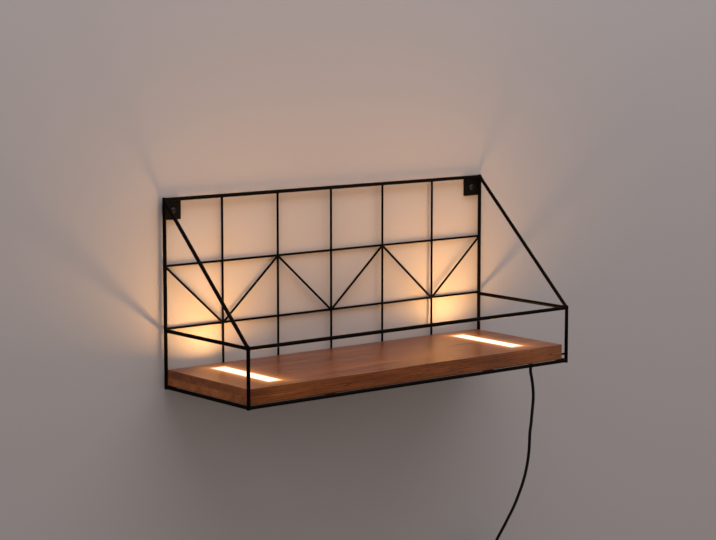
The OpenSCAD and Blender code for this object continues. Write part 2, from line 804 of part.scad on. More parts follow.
// Strap round all the turns, at the top of the coil
module coil_tie() {
    bend_in = coil_r_in - sqrt(pow(coil_r_in - cord_r, 2) - pow(tie_w / 2, 2)) - cord_r;
    low = coil_r_in - cord_r - tie_gap - bend_in;
    high = coil_r_out + cord_r + tie_gap;
    deep = coil_depth + cord_d + 2 * tie_gap;
    color("#26231f") translate([coil_x, coil_y + coil_depth / 2, coil_z + (low + high) / 2])
        along_x(tie_w) difference() {
            round_rect(deep + 2 * tie_t, high - low + 2 * tie_t, 2 * tie_t);
            round_rect(deep, high - low, tie_t);
        }
}

// Outline of the switch's case, seen from the front
module switch_outline(shrink) {
    round_rect(switch_w - 2 * shrink, switch_len - 2 * shrink, switch_corner_r - shrink);
}
// Half of the case: a shallow box that is open towards the other half
module switch_half(side) {
    half_t = switch_t / 2;
    translate([lead_x, lead_y + side * half_t / 2, switch_z]) difference() {
        along_y(half_t - seat_gap) switch_outline(0);
        translate([0, -side * switch_wall, 0]) along_y(half_t) switch_outline(switch_wall);
    }
}
module switch_front_case() {
    cheek_h = switch_t / 2 - switch_wall;
    cheek_x = (window_w + rocker_cheek_t) / 2;
    color("#1f1d1b") difference() {
        union() {
            switch_half(-1);
            for (side = [-1, 1])
                translate([lead_x + side * cheek_x, lead_y - cheek_h / 2 - fit, switch_z])
                    cube([rocker_cheek_t, cheek_h, 2 * rocker_r], center = true);
        }
        translate([lead_x, switch_face_y, switch_z])
            cube([window_w, 2 * switch_wall + past, window_len], center = true);
        translate([lead_x, rocker_pin_y, switch_z]) rotate([0, 90, 0])
            cylinder(h = rocker_pin_len, d = rocker_pin_d + 2 * seat_gap, center = true, $fn = smooth);
    }
}
module switch_back_case() {
    color("#1f1d1b") switch_half(1);
}

// Rocker: round ends about the pin and a shallow vee on top, lying tilted
module switch_rocker() {
    reach = rocker_r + past;
    rise = reach * tan(rocker_tilt);
    color("#121110") translate([lead_x, rocker_pin_y, switch_z]) rotate([rocker_tilt, 0, 0]) difference() {
        along_x(rocker_w) intersection() {
            circle(r = rocker_r, $fn = smooth);
            polygon([
                [rocker_under, -reach], [-rocker_rest_v - rise, -reach],
                [-rocker_rest_v, 0], [-rocker_rest_v - rise, reach], [rocker_under, reach]
            ]);
        }
        rotate([0, 90, 0])
            cylinder(h = rocker_w + past, d = rocker_pin_d + 2 * pin_play, center = true, $fn = smooth);
    }
}
module rocker_pin() {
    color("#b9bcc0") translate([lead_x, rocker_pin_y, switch_z]) rotate([0, 90, 0])
        cylinder(h = rocker_pin_len - 2 * seat_gap, d = rocker_pin_d, center = true, $fn = smooth);
}

// Two brass contacts on the back of the case: a flat tail and a post that
// stops just short of the rocker's underside
module switch_contacts() {
    tail = [3, 1, 11];
    post_z = 4;
    post_t = 2;
    back_y = lead_y + switch_t / 2 - switch_wall - seat_gap;
    under = rocker_under * cos(rocker_tilt) + (post_z + post_t) * sin(rocker_tilt);
    post_y = rocker_pin_y + under + 2 * fit;
    color("#c9a24b")
        for (end = [-1, 1]) union() {
            translate([lead_x, back_y - tail[1] / 2, switch_z + end * (post_z + tail[2] / 2 - post_t / 2)])
                cube(tail, center = true);
            translate([lead_x, (back_y + post_y) / 2, switch_z + end * post_z])
                cube([tail[0], back_y - post_y, post_t], center = true);
        }
}

// Power supply: front case with the pins, back case, circuit inside
module supply_outline(shrink) {
    round_rect(supply_w - 2 * shrink, supply_h - 2 * shrink, supply_corner_r - shrink);
}
module supply_front_case() {
    front_t = supply_split_y - supply_face_y - seat_gap;
    bore_len = pin_sleeve_len + supply_wall + 2 * past;
    color("#1f1d1b") difference() {
        union() {
            difference() {
                translate([lead_x, supply_face_y + front_t / 2, supply_z]) along_y(front_t) supply_outline(0);
                translate([lead_x, supply_face_y + supply_wall + front_t / 2, supply_z])
                    along_y(front_t) supply_outline(supply_wall);
            }
            for (side = [-1, 1])
                translate([lead_x + side * pin_spacing / 2, supply_face_y, pin_z]) rotate([90, 0, 0])
                    cylinder(h = pin_sleeve_len, d = pin_sleeve_d, $fn = smooth);
            translate([lead_x, lead_y, supply_top - supply_wall / 2])
                cylinder(h = supply_sleeve_len + supply_wall / 2, d1 = sleeve_foot_d, d2 = sleeve_tip_d,
                    $fn = smooth);
        }
        for (side = [-1, 1])
            translate([lead_x + side * pin_spacing / 2, supply_face_y + supply_wall + past, pin_z])
                rotate([90, 0, 0]) cylinder(h = bore_len, d = pin_core_d + 2 * seat_gap, $fn = smooth);
    }
}
module supply_back_case() {
    back_y = lead_y + supply_t / 2;
    back_t = back_y - supply_split_y;
    color("#1f1d1b") difference() {
        translate([lead_x, back_y - back_t / 2, supply_z]) along_y(back_t) supply_outline(0);
        translate([lead_x, back_y - supply_wall - back_t / 2, supply_z])
            along_y(back_t) supply_outline(supply_wall);
    }
}
module supply_pins() {
    tip_len = pin_len - pin_sleeve_len - seat_gap;
    color("#c8c9cb")
        for (side = [-1, 1])
            translate([lead_x + side * pin_spacing / 2, supply_face_y, pin_z]) rotate([90, 0, 0]) union() {
                translate([0, 0, -supply_wall - pin_root_len])
                    cylinder(h = pin_root_len - seat_gap, d = pin_d + 2, $fn = fine);
                translate([0, 0, -supply_wall - 1])
                    cylinder(h = supply_wall + pin_sleeve_len + 2, d = pin_core_d, $fn = smooth);
                translate([0, 0, pin_len - tip_len])
                    cylinder(h = tip_len - 1, d = pin_d, $fn = smooth);
                translate([0, 0, pin_len - 1])
                    cylinder(h = 1, d1 = pin_d, d2 = pin_d - 1.4, $fn = smooth);
            }
}
module supply_circuit() {
    board_y = supply_split_y + supply_wall;
    board_thick = 1.6;
    core = [16, 11, 14];
    can_d = 8;
    color("#3f6b45") union() {
        translate([lead_x, board_y, supply_z]) along_y(board_thick) supply_outline(supply_wall + fit);
        translate([lead_x, board_y - (board_thick + core[1]) / 2 + fit, supply_top - supply_wall - core[2]])
            cube(core, center = true);
        translate([lead_x - core[0] / 2, board_y - board_thick / 2 + fit, supply_z])
            rotate([90, 0, 0]) cylinder(h = core[1] - 2, d = can_d, $fn = fine);
    }
}

back_rail(top_z);  // back_top_rail
back_rail(tray_z);  // back_bottom_rail
upright(-1);  // left_upright
upright(1);  // right_upright
side_rail(-1, gallery_z);  // left_gallery_rail
front_rail(gallery_z);  // front_gallery_rail
side_rail(1, gallery_z);  // right_gallery_rail
post(-1);  // left_post
post(1);  // right_post
side_rail(-1, tray_z);  // left_tray_rail
front_rail(tray_z);  // front_tray_rail
side_rail(1, tray_z);  // right_tray_rail
brace(-1);  // left_brace
brace(1);  // right_brace
bearer(-1);  // left_bearer
bearer(1);  // right_bearer
grid_vertical(1);  // grid_vertical_1
grid_vertical(2);  // grid_vertical_2
grid_vertical(3);  // grid_vertical_3
grid_vertical(4);  // grid_vertical_4
grid_vertical(5);  // grid_vertical_5
grid_bar(lower_bar_z);  // grid_lower_bar
grid_bar(upper_bar_z);  // grid_upper_bar
grid_vee(0);  // grid_vee_left
grid_vee(1);  // grid_vee_middle
grid_vee(2);  // grid_vee_right
wall_plate(-1);  // left_wall_plate
wall_plate(1);  // right_wall_plate
wall_screws();
shelf_board();
board_screws();
board_lock_screw();
strip_tray(left_strip_x);  // left_strip_tray
strip_tray(right_strip_x);  // right_strip_tray
led_board(left_strip_x);  // left_led_board
led_board(right_strip_x);  // right_led_board
led_chips();
lens(left_strip_x);  // left_lens
lens(right_strip_x);  // right_lens
wiring_cover();
cover_screws();
wire_connector();
inner_wires();
cord_grip();
cord_drop();
cord_coil();
coil_tie();
cord_switch_lead();
cord_supply_lead();
switch_front_case();
switch_back_case();
switch_rocker();
rocker_pin();
switch_contacts();
supply_front_case();
supply_back_case();
supply_pins();
supply_circuit();
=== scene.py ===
# %% [markdown]
# # Wall lamp with a shelf
#
# A frame of black wire hangs on two wall screws and carries a brown hardwood
# board. Two light strips lie flush in the top of the board, and a thin black
# lead leaves under its right end. This lesson dresses the finished solids of
# that lamp: it adds the pieces that solids show badly, gives every piece a
# finish, and sets up a camera, lamps and a wall for the picture.
#
# All lengths are metres. X runs along the wall to the right, Y into the wall,
# Z up, and the origin lies on the wall, midway between the wall screws.

# %% Load the solids
import json
import math
import bpy
import numpy as np
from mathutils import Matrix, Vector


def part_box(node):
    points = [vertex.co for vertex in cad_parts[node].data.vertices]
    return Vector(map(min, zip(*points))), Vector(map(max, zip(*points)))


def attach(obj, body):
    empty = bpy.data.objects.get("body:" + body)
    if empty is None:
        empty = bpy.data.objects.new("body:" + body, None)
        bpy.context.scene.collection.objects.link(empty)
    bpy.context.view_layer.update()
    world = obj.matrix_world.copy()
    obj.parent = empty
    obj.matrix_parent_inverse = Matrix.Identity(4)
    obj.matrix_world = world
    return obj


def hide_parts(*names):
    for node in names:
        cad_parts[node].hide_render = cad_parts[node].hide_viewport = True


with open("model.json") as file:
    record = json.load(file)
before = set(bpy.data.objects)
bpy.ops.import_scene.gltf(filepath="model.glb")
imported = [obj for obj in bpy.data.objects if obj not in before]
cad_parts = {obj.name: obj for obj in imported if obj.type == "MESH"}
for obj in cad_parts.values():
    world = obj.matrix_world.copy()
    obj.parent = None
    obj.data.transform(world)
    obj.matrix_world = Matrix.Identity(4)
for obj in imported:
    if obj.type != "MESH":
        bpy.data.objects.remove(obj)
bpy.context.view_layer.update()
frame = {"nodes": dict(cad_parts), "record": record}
nodes = frame["nodes"]
mm = 0.001

# %% [markdown]
# ## Camera
#
# The picture was taken from the left of the lamp and a little above it. A
# camera like that could be aimed by eye. Here its place comes from the
# picture's own corners of the wire frame instead: position, turn and lens are
# the ones for which those corners fall where they do in the picture. The view
# settings stay plain, so that a colour comes out as it is written.

# %% Camera
def add_camera(place, pitch, turn, lens):
    """A camera at a place, tipped up from straight down by pitch and turned about Z."""
    data = bpy.data.cameras.new("camera")
    data.lens = lens
    data.sensor_width = 36
    data.clip_start = 0.05
    data.clip_end = 60
    eye = bpy.data.objects.new("camera", data)
    eye.location = place
    eye.rotation_euler = (math.radians(pitch), 0, math.radians(turn))
    bpy.context.scene.collection.objects.link(eye)
    return eye


bpy.context.scene.camera = add_camera(
    place=(-1.48965, -1.89615, 0.2362), pitch=82.5, turn=-38.93, lens=108.94)
bpy.context.scene.view_settings.view_transform = "Standard"
print("camera lens:", round(bpy.context.scene.camera.data.lens, 1), "mm")

# %% [markdown]
# ## Surfaces from arrays
#
# Every new piece is a grid of points: rows along its length, columns round it.
# Such a grid could be built point by point in a loop, but whole arrays are
# faster and show the formula. One helper numbers the faces of a grid, another
# puts points and faces into a mesh and makes sure that the faces look outward.

# %% Grid and mesh helpers
def grid_faces(rows, columns, looped=False):
    """Four corners per face: this point, the next in the row, and the same two one row on.
    The last column joins the first, so each row is a closed ring. A looped grid's last row
    joins its first."""
    face_rows = rows if looped else rows - 1
    row, column = np.meshgrid(np.arange(face_rows), np.arange(columns), indexing="ij")
    after, below = (column + 1) % columns, (row + 1) % rows
    corners = [row * columns + column, row * columns + after,
               below * columns + after, below * columns + column]
    return np.stack(corners, -1).reshape(-1, 4)


def closed_surface(rings):
    """Points and faces of a stack of rings. Each end ring is closed with a fan round its middle."""
    rows, columns, _ = rings.shape
    middles = rings[[0, -1]].mean(axis=1)
    points = np.vstack([rings.reshape(-1, 3), middles])
    here = np.arange(columns)
    after = (here + 1) % columns
    first = np.stack([np.full(columns, rows * columns), after, here], -1)
    base = (rows - 1) * columns
    final = np.stack([np.full(columns, rows * columns + 1), base + here, base + after], -1)
    return points, [grid_faces(rows, columns), first, final]


def joined(parts):
    """Several surfaces as one: each one's faces are numbered on from the points before it."""
    start, points, faces = 0, [], []
    for part_points, part_faces in parts:
        points.append(part_points)
        faces += [group + start for group in part_faces]
        start += len(part_points)
    return np.vstack(points), faces


def volume_inside(points, faces):
    """Sum over the faces' triangles of a . (b x c) / 6, which is positive where faces look outward."""
    total = 0
    for group in faces:
        for k in range(1, group.shape[1] - 1):
            a, b, c = points[group[:, 0]], points[group[:, k]], points[group[:, k + 1]]
            total += np.einsum("ij,ij->i", a, np.cross(b, c)).sum() / 6
    return total


def make_piece(name, points, faces, body="lamp"):
    """Puts arrays of points and faces into a smooth mesh that rides on a body."""
    if volume_inside(points, faces) < 0:
        faces = [group[:, ::-1] for group in faces]
    mesh = bpy.data.meshes.new(name)
    mesh.from_pydata(points.tolist(), [], [face for group in faces for face in group.tolist()])
    mesh.polygons.foreach_set("use_smooth", np.ones(len(mesh.polygons), dtype=bool))
    mesh.update()
    piece = bpy.data.objects.new(name, mesh)
    bpy.context.scene.collection.objects.link(piece)
    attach(piece, body)
    print(f"{name}: {len(points)} points, {len(mesh.polygons)} faces")
    return piece


# %% [markdown]
# ## The lead
#
# The lead is a round two-core cable, 3.5 mm across and about 1.8 m long. It
# leaves a sleeve under the board's right end, hangs down in slow bends as a
# cable does that was coiled in its box, and swings back to the wall. The part
# that the picture doesn't show is put away in a flat coil against the wall,
# held by a strap. A switch and a plug-in power supply hang under the coil.
#
# It could be a curve object with a bevel. A tube worked out on arrays is
# chosen because the same path can be measured and thinned freely. A smooth
# curve through the hanging part's points rounds off its small corners.

# %% The lead's path
lead_radius = 1.75 * mm
lead_exit = np.array([203.0, -115.75, -198.0]) * mm
hang_steps = np.array([
    [0, 0, 0], [0, 0, -6], [2, 0, -14], [3.5, 0, -22], [4.5, 0, -31], [4.5, 0, -40],
    [3.5, 0, -49], [2.5, 0, -58], [1.5, 0, -67], [0, 0, -76], [-0.5, 0, -85], [0, 1, -94],
    [1, 3, -103], [2.5, 6, -112], [4.5, 10, -121], [6.5, 14.5, -130], [9, 20, -139],
    [11.5, 26, -148], [14, 32.5, -157], [16.5, 39, -166], [19, 46, -175], [21, 53, -184],
    [22.5, 60, -193], [23, 66, -202], [22.5, 71.5, -211], [22, 77, -220], [21.5, 81.5, -229],
    [21.5, 85, -238], [21.5, 87.5, -247], [21.5, 89, -255], [21.5, 89, -260]
]) * mm
coil_middle = np.array([199.25, -27.0, -461.5]) * mm
coil_outer, coil_inner, turn_pitch = 25.25 * mm, 13.25 * mm, 4 * mm
layer_turns, layers = 3, 4
# The steps towards the wall are scaled so that the last one reaches the coil's front layer.
to_wall = (coil_middle[1] - lead_exit[1]) / hang_steps[-1, 1]
hang = lead_exit + hang_steps * [1, to_wall, 1]
coil_end = np.array([224.5, -15.0, -465.0]) * mm
switch_top = np.array([224.5, -15.0, -487.0]) * mm
switch_bottom = np.array([224.5, -15.0, -531.0]) * mm
supply_sleeve_top = np.array([224.5, -15.0, -565.0]) * mm


def smooth_through(points, between):
    """The curve through the points whose direction at each one is that of the chord between its
    neighbours: a cubic for each stretch, read at evenly spaced shares of the stretch."""
    padded = np.vstack([2 * points[0] - points[1], points, 2 * points[-1] - points[-2]])
    p0, p1, p2, p3 = padded[:-3, None], padded[1:-2, None], padded[2:-1, None], padded[3:, None]
    t = (np.arange(between) / between)[None, :, None]
    curve = 0.5 * (2 * p1 + (p2 - p0) * t + (2 * p0 - 5 * p1 + 4 * p2 - p3) * t**2
                   + (3 * p1 - p0 - 3 * p2 + p3) * t**3)
    return np.vstack([curve.reshape(-1, 3), points[-1:]])


def coil_path(per_turn):
    """A flat spiral that winds in over three turns and out over the next three, four times over.
    Radius falls or rises by one pitch a turn. Where it reverses, half a turn climbs to the next
    layer on a cosine ramp."""
    u = np.arange(layers * layer_turns * per_turn + 1) / per_turn
    phase = u % (2 * layer_turns)
    radius = np.where(phase < layer_turns, coil_outer - turn_pitch * phase,
                      coil_inner + turn_pitch * (phase - layer_turns))
    reversals = layer_turns * np.arange(1, layers)
    ramp = np.clip(2 * (u[:, None] - reversals) + 0.5, 0, 1)
    rise = turn_pitch * ((1 - np.cos(np.pi * ramp)) / 2).sum(axis=1)
    angle = 2 * np.pi * u
    return coil_middle + np.stack([radius * np.cos(angle), rise, -radius * np.sin(angle)], -1)


fine_lead_path = np.vstack([smooth_through(hang, 4), coil_path(48), coil_end, switch_top])
tail_path = np.linspace(switch_bottom, supply_sleeve_top, 15)
lead_sides = 16

# %% The lead's skin
def tube(path, radius, sides, reference):
    """A ring of points round each point of the path, square to it. The ring's two directions are
    the path's heading crossed with a reference direction that it never runs along, and that one
    crossed with the heading."""
    heading = np.gradient(path, axis=0)
    heading /= np.linalg.norm(heading, axis=1, keepdims=True)
    across = np.cross(heading, reference)
    across /= np.linalg.norm(across, axis=1, keepdims=True)
    up = np.cross(across, heading)
    angle = 2 * np.pi * np.arange(sides) / sides
    return path[:, None] + radius * (np.cos(angle)[:, None] * across[:, None]
                                     + np.sin(angle)[:, None] * up[:, None])


lead = make_piece("lead", *closed_surface(tube(fine_lead_path, lead_radius, lead_sides, [0, 1, 0])))
lead_tail = make_piece("lead_tail", *closed_surface(tube(tail_path, lead_radius, lead_sides, [0, 1, 0])))

# %% [markdown]
# ## The strap round the coil
#
# A narrow woven strap with a hook-and-loop end holds the turns together. The
# solid model has a plain closed band there. The strap could be cut from a
# plane and thickened; here its flat section, with round edges, is carried
# round the band's own path, and a second short layer shows where its end
# overlaps.

# %% Strap
def rounded_loop(width, height, corner, count):
    """Points evenly spaced by angle on a rectangle with round corners: the corner's centre plus the
    corner's radius in the direction of the angle. Returns the points and those directions."""
    angle = 2 * np.pi * (np.arange(count) + 0.5) / count
    direction = np.stack([np.cos(angle), np.sin(angle)], -1)
    centre = np.sign(direction) * [width / 2 - corner, height / 2 - corner]
    return centre + corner * direction, direction


strap_thick, strap_corner = 1.0 * mm, 2.2 * mm
band_steps, section_steps = 96, 20
flat_across, flat_through = 1.6, 1.8


def strap_layer(box, lift, first, last):
    """Some steps of a band in the YZ plane: path points on a rounded rectangle, and round each the
    flat section. Its sides are the cosine and the sine of an angle, stretched and cut off at 1,
    and a round edge of half the thickness is added to the width."""
    low, high = np.array(box[0]), np.array(box[1])
    size, middle = high - low, (low + high) / 2
    loop, out = rounded_loop(size[1] - strap_thick + 2 * lift, size[2] - strap_thick + 2 * lift,
                             strap_corner + lift, band_steps)
    loop, out = loop[first:last], out[first:last]
    turn = 2 * np.pi * (np.arange(section_steps) + 0.5) / section_steps
    across, through = np.cos(turn), np.sin(turn)
    half_width, half_thick = size[0] / 2 - strap_thick / 2, strap_thick / 2
    x = np.sign(across) * half_width * np.minimum(1, np.abs(across) * flat_across) + half_thick * across
    rise = half_thick * np.sign(through) * np.minimum(1, np.abs(through) * flat_through)
    centre = middle + np.stack([np.zeros(len(loop)), loop[:, 0], loop[:, 1]], -1)
    outward = np.stack([np.zeros(len(out)), out[:, 0], out[:, 1]], -1)
    return centre[:, None] + x[:, None] * np.array([1.0, 0, 0]) + rise[:, None] * outward[:, None]


# The strap's end lies on the band's steps 36 to 60, a little less than one thickness higher.
tie_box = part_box("coil_tie")
inner_layer = strap_layer(tie_box, 0, 0, band_steps)
end_layer = strap_layer(tie_box, strap_thick * 0.9, 36, 60)
band_rows, band_columns, _ = inner_layer.shape
band = (inner_layer.reshape(-1, 3), [grid_faces(band_rows, band_columns, looped=True)])
strap = make_piece("strap", *joined([band, closed_surface(end_layer)]))

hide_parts("cord_drop", "cord_coil", "cord_switch_lead")
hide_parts("cord_supply_lead")
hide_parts("coil_tie")

# %% [markdown]
# ## Welds
#
# The wires of such a frame are butt-welded, and the powder coat rounds off
# each joint. In the solids the wires end a hair short of each other. A real
# fillet could be cut from the wires themselves, but the solids stay as they
# are, so each joint gets a small turned bead: inside the neighbour it starts
# narrower than it, bulges where it comes out, and thins to the wire.

# %% Shapes of the welds
wire_radius, thin_radius = 2.0 * mm, 1.25 * mm


def turned(at, along, s, radius, sides=16):
    """A profile turned about an axis: rings of the given radii at distances s from a point."""
    along = np.array(along, float) / np.linalg.norm(along)
    side = np.cross(along, [0.31, 0.87, 0.38])
    side /= np.linalg.norm(side)
    angle = 2 * np.pi * np.arange(sides) / sides
    ring = np.cos(angle)[:, None] * side + np.sin(angle)[:, None] * np.cross(along, side)
    return closed_surface(np.array(at) + s[:, None, None] * along + radius[:, None, None] * ring)


skin = 0.004 * mm
coat, dome_height, dome_overlap = 0.01 * mm, 0.45 * mm, 0.3 * mm


def fillet(at, along, radius, neighbour, proud=0.32 * mm, reach=1.7 * mm):
    """Bead on a wire's end. Up to the neighbour's surface its radius eases from 0.85 of the thinner
    wire's to the wire's plus the bead's height; from there that height falls as (1 - t) squared,
    down to a skin that keeps the bead outside the wire."""
    inside = np.linspace(0.1, 1, 5, endpoint=False)
    start = 0.85 * min(neighbour, radius)
    ease = inside**2 * (3 - 2 * inside)
    t = np.linspace(0, 1, 8)
    s = np.concatenate([neighbour * inside, neighbour + reach * t])
    profile = np.concatenate([start + (radius + proud - start) * ease,
                              radius + proud * (1 - t)**2 + skin])
    return turned(at, along, s, profile)


def rounded_end(at, along, radius):
    """The coat's dome over a cut end: radius times the square root of 1 - t squared."""
    t = np.sin(np.linspace(0, np.pi / 2, 7))[:-1]
    s = np.concatenate([[-dome_overlap], dome_height * t])
    profile = (radius + coat) * np.concatenate([[1], np.sqrt(1 - t**2)])
    return turned(at, along, s, profile)


def spot(at, half):
    """A flattened ball: rings of radius sin(v) at height cos(v), stretched by three half sizes."""
    v = np.linspace(0.06, np.pi - 0.06, 9)
    angle = 2 * np.pi * np.arange(14) / 14
    rings = np.stack([np.sin(v)[:, None] * np.cos(angle), np.cos(v)[:, None] + 0 * angle,
                      np.sin(v)[:, None] * np.sin(angle)], -1)
    return closed_surface(np.array(at) + rings * half)


# %% Where the welds are
right_x, back_y, front_y = 223.25 * mm, -4.0 * mm, -152.5 * mm
top_z, tray_z, gallery_z = 12 * mm, -188 * mm, -127.2 * mm
lower_bar_z, upper_bar_z, bar_y = -125.8 * mm, -58.7 * mm, -1.45 * mm
columns = 6
column = 2 * right_x / columns
bearer_x = 111.25 * mm
verticals = -right_x + column * np.arange(1, columns)
brace_reach, thin_proud = 2.6 * mm, 0.25 * mm
spot_half = np.array([1.6, 1.2, 1.6]) * mm
frame_beads, grid_beads = [], []
for side in (-1, 1):
    x = side * right_x
    for y, z in ((back_y, top_z), (back_y, tray_z), (front_y, tray_z), (front_y, gallery_z)):
        frame_beads.append(fillet((x, y, z), (-side, 0, 0), wire_radius, wire_radius))
    for z in (tray_z, gallery_z):
        frame_beads.append(fillet((x, back_y, z), (0, -1, 0), wire_radius, wire_radius))
        frame_beads.append(fillet((x, front_y, z), (0, 1, 0), wire_radius, wire_radius))
    slope = np.array([0, front_y - back_y, gallery_z - top_z])
    for y, z, along in ((back_y, top_z, slope), (front_y, gallery_z, -slope)):
        frame_beads.append(fillet((x, y, z), along, wire_radius, wire_radius, reach=brace_reach))
    for y, high in ((back_y, top_z), (front_y, gallery_z)):
        frame_beads.append(rounded_end((x, y, high + wire_radius), (0, 0, 1), wire_radius))
        frame_beads.append(rounded_end((x, y, tray_z - wire_radius), (0, 0, -1), wire_radius))
    frame_beads.append(fillet((side * bearer_x, back_y, tray_z), (0, -1, 0), wire_radius, wire_radius))
    frame_beads.append(fillet((side * bearer_x, front_y, tray_z), (0, 1, 0), wire_radius, wire_radius))
    for z in (lower_bar_z, upper_bar_z):
        grid_beads.append(fillet((x, bar_y, z), (-side, 0, 0), thin_radius, wire_radius * 0.8))
for x in verticals:
    grid_beads.append(fillet((x, back_y, top_z), (0, 0, -1), thin_radius, wire_radius))
    grid_beads.append(fillet((x, back_y, tray_z), (0, 0, 1), thin_radius, wire_radius))
    for z in (lower_bar_z, upper_bar_z):
        grid_beads.append(spot((x, (back_y + bar_y) / 2, z), spot_half))
for foot in (1, 3, 5):
    for side in (-1, 1):
        low = np.array([-right_x + foot * column, back_y, lower_bar_z])
        high = np.array([-right_x + (foot + side) * column, back_y, upper_bar_z])
        neighbour = wire_radius if foot + side in (0, columns) else thin_radius
        grid_beads.append(fillet(low, high - low, thin_radius, thin_radius, proud=thin_proud))
        grid_beads.append(fillet(high, low - high, thin_radius, neighbour, proud=thin_proud))
frame_welds = make_piece("frame_welds", *joined(frame_beads))
grid_welds = make_piece("grid_welds", *joined(grid_beads))
print("welds:", len(frame_beads), "on the frame,", len(grid_beads), "on the grid")

# %% [markdown]
# ## How a finish is made
#
# A finish is a small graph of nodes. Each could be wired by hand; two helpers
# keep that short. Colours are written as the hex values that a painter would
# read off a screen and turned to the linear values that light adds up in.
# Patterns read Object coordinates, which here are metres, so a pattern's scale
# is one over its real size.

# %% Colour and node helpers
def linear(code):
    """sRGB hex to linear: v / 12.92 below 0.04045, else ((v + 0.055) / 1.055) to the power 2.4."""
    value = np.array([int(code[i:i + 2], 16) for i in (1, 3, 5)]) / 255
    value = np.where(value <= 0.04045, value / 12.92, ((value + 0.055) / 1.055)**2.4)
    return (*value.tolist(), 1.0)


def add_node(tree, kind, settings=None, links=None):
    """One node. Settings fill its own properties or its inputs, links join its inputs to outputs."""
    node = tree.nodes.new(kind)
    for name, value in (settings or {}).items():
        if isinstance(name, int) or name in node.inputs:
            node.inputs[name].default_value = value
        else:
            setattr(node, name, value)
    for name, output in (links or {}).items():
        tree.links.new(output, node.inputs[name])
    return node


def new_finish(name, **settings):
    """A material with its shader's own sockets set; an underscore stands for a space."""
    material = bpy.data.materials.new(name)
    material.use_nodes = True
    tree = material.node_tree
    shader = tree.nodes["Principled BSDF"]
    for socket, value in settings.items():
        shader.inputs[socket.replace("_", " ")].default_value = value
    place = add_node(tree, "ShaderNodeTexCoord").outputs["Object"]
    return material, tree, shader, place


def ramp(tree, factor, stops):
    """A colour ramp through (place, hex) stops."""
    node = add_node(tree, "ShaderNodeValToRGB", links={"Fac": factor})
    elements = node.color_ramp.elements
    while len(elements) < len(stops):
        elements.new(0.5)
    for element, (position, code) in zip(elements, stops):
        element.position = position
        element.color = linear(code)
    return node.outputs["Color"]


def speckled(name, dark, light, grain, height, rough, spread, stretch=(1, 1, 1), **settings):
    """A finish whose one pattern, noise of a real grain size, tints it, varies its roughness by
    spread and raises it by height. Stretch divides the grain along an axis."""
    material, tree, shader, place = new_finish(name, **settings)
    scaled = add_node(tree, "ShaderNodeMapping", {"Scale": stretch}, {"Vector": place}).outputs[0]
    noise = add_node(tree, "ShaderNodeTexNoise", {"Scale": 1 / grain, "Detail": 3.0, "Roughness": 0.6},
                     {"Vector": scaled}).outputs["Fac"]
    tree.links.new(ramp(tree, noise, [(0.3, dark), (0.7, light)]), shader.inputs["Base Color"])
    roughness = add_node(
        tree, "ShaderNodeMapRange",
        {"From Min": 0.3, "From Max": 0.7, "To Min": rough - spread, "To Max": rough + spread},
        {"Value": noise})
    tree.links.new(roughness.outputs["Result"], shader.inputs["Roughness"])
    bump = add_node(tree, "ShaderNodeBump", {"Strength": 1.0, "Distance": height}, {"Height": noise})
    tree.links.new(bump.outputs["Normal"], shader.inputs["Normal"])
    return material


# %% [markdown]
# ## Powder coat on the wire
#
# Powder coat is sprayed on dry and baked, so it is thick, even and slightly
# pebbled, with a semi-matt black that is a little warm. It could be one flat
# black. The pebbles are what gives thin wires their soft broken highlight, so
# they are drawn, coarser than the real 0.3 mm so that they show at all.

# %% Powder coat
finishes = {}
finishes["frame_paint"] = speckled(
    "powder coat, black, on wire", "#030100", "#060301", 1.1 * mm, 0.03 * mm, 0.54, 0.06,
    IOR=1.5, Specular_IOR_Level=0.03)
finishes["grid_paint"] = speckled(
    "powder coat, black, on thin wire", "#030100", "#060301", 0.9 * mm, 0.02 * mm, 0.55, 0.06,
    IOR=1.5, Specular_IOR_Level=0.03)
finishes["plate_paint"] = speckled(
    "powder coat, black, on plate", "#050403", "#0a0807", 1.3 * mm, 0.04 * mm, 0.55, 0.06,
    IOR=1.5, Specular_IOR_Level=0.04)
# Black zinc on steel screws: a dark metal with a dull sheen and paler worn spots.
finishes["screw_black"] = speckled(
    "black zinc, plated", "#171615", "#343230", 1.0 * mm, 0.01 * mm, 0.42, 0.08, Metallic=1.0)
print("coats:", sorted(finishes))

# %% [markdown]
# ## Oiled hardwood of the board
#
# The board is laminated from staves 44 mm wide in two layers, each stave with
# its own tone and its own part of the log, sawn lengthwise and oiled. A
# picture of wood could be wrapped round it, but then ends and edges wouldn't
# match. Here the wood is solid: growth rings are cylinders about a pith that
# runs along X, a new pith for each stave, so the top shows long streaks and
# the ends show arcs by themselves. Fine fibres and dark pores are noise that
# is stretched along X. The oil leaves a satin gloss that the pores break.

# %% Hardwood: staves and patterns
board_low, board_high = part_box("shelf_board")
stave_width, ring_pitch = 44 * mm, 2.4 * mm
# At scale 1 a wave texture's bands are 2 pi / 20 apart, so a pitch takes this over the pitch.
wave_unit = 2 * math.pi / 20
wood, tree, shader, place = new_finish(
    "hardwood, laminated and oiled", IOR=1.47, Specular_IOR_Level=0.62, Specular_Tint=linear("#ffc48a"))
axes = add_node(tree, "ShaderNodeSeparateXYZ", links={"Vector": place}).outputs
glue_line = (board_low[2] + board_high[2]) / 2
layer = add_node(tree, "ShaderNodeMath", {"operation": "GREATER_THAN", 1: glue_line},
                 {0: axes["Z"]}).outputs[0]
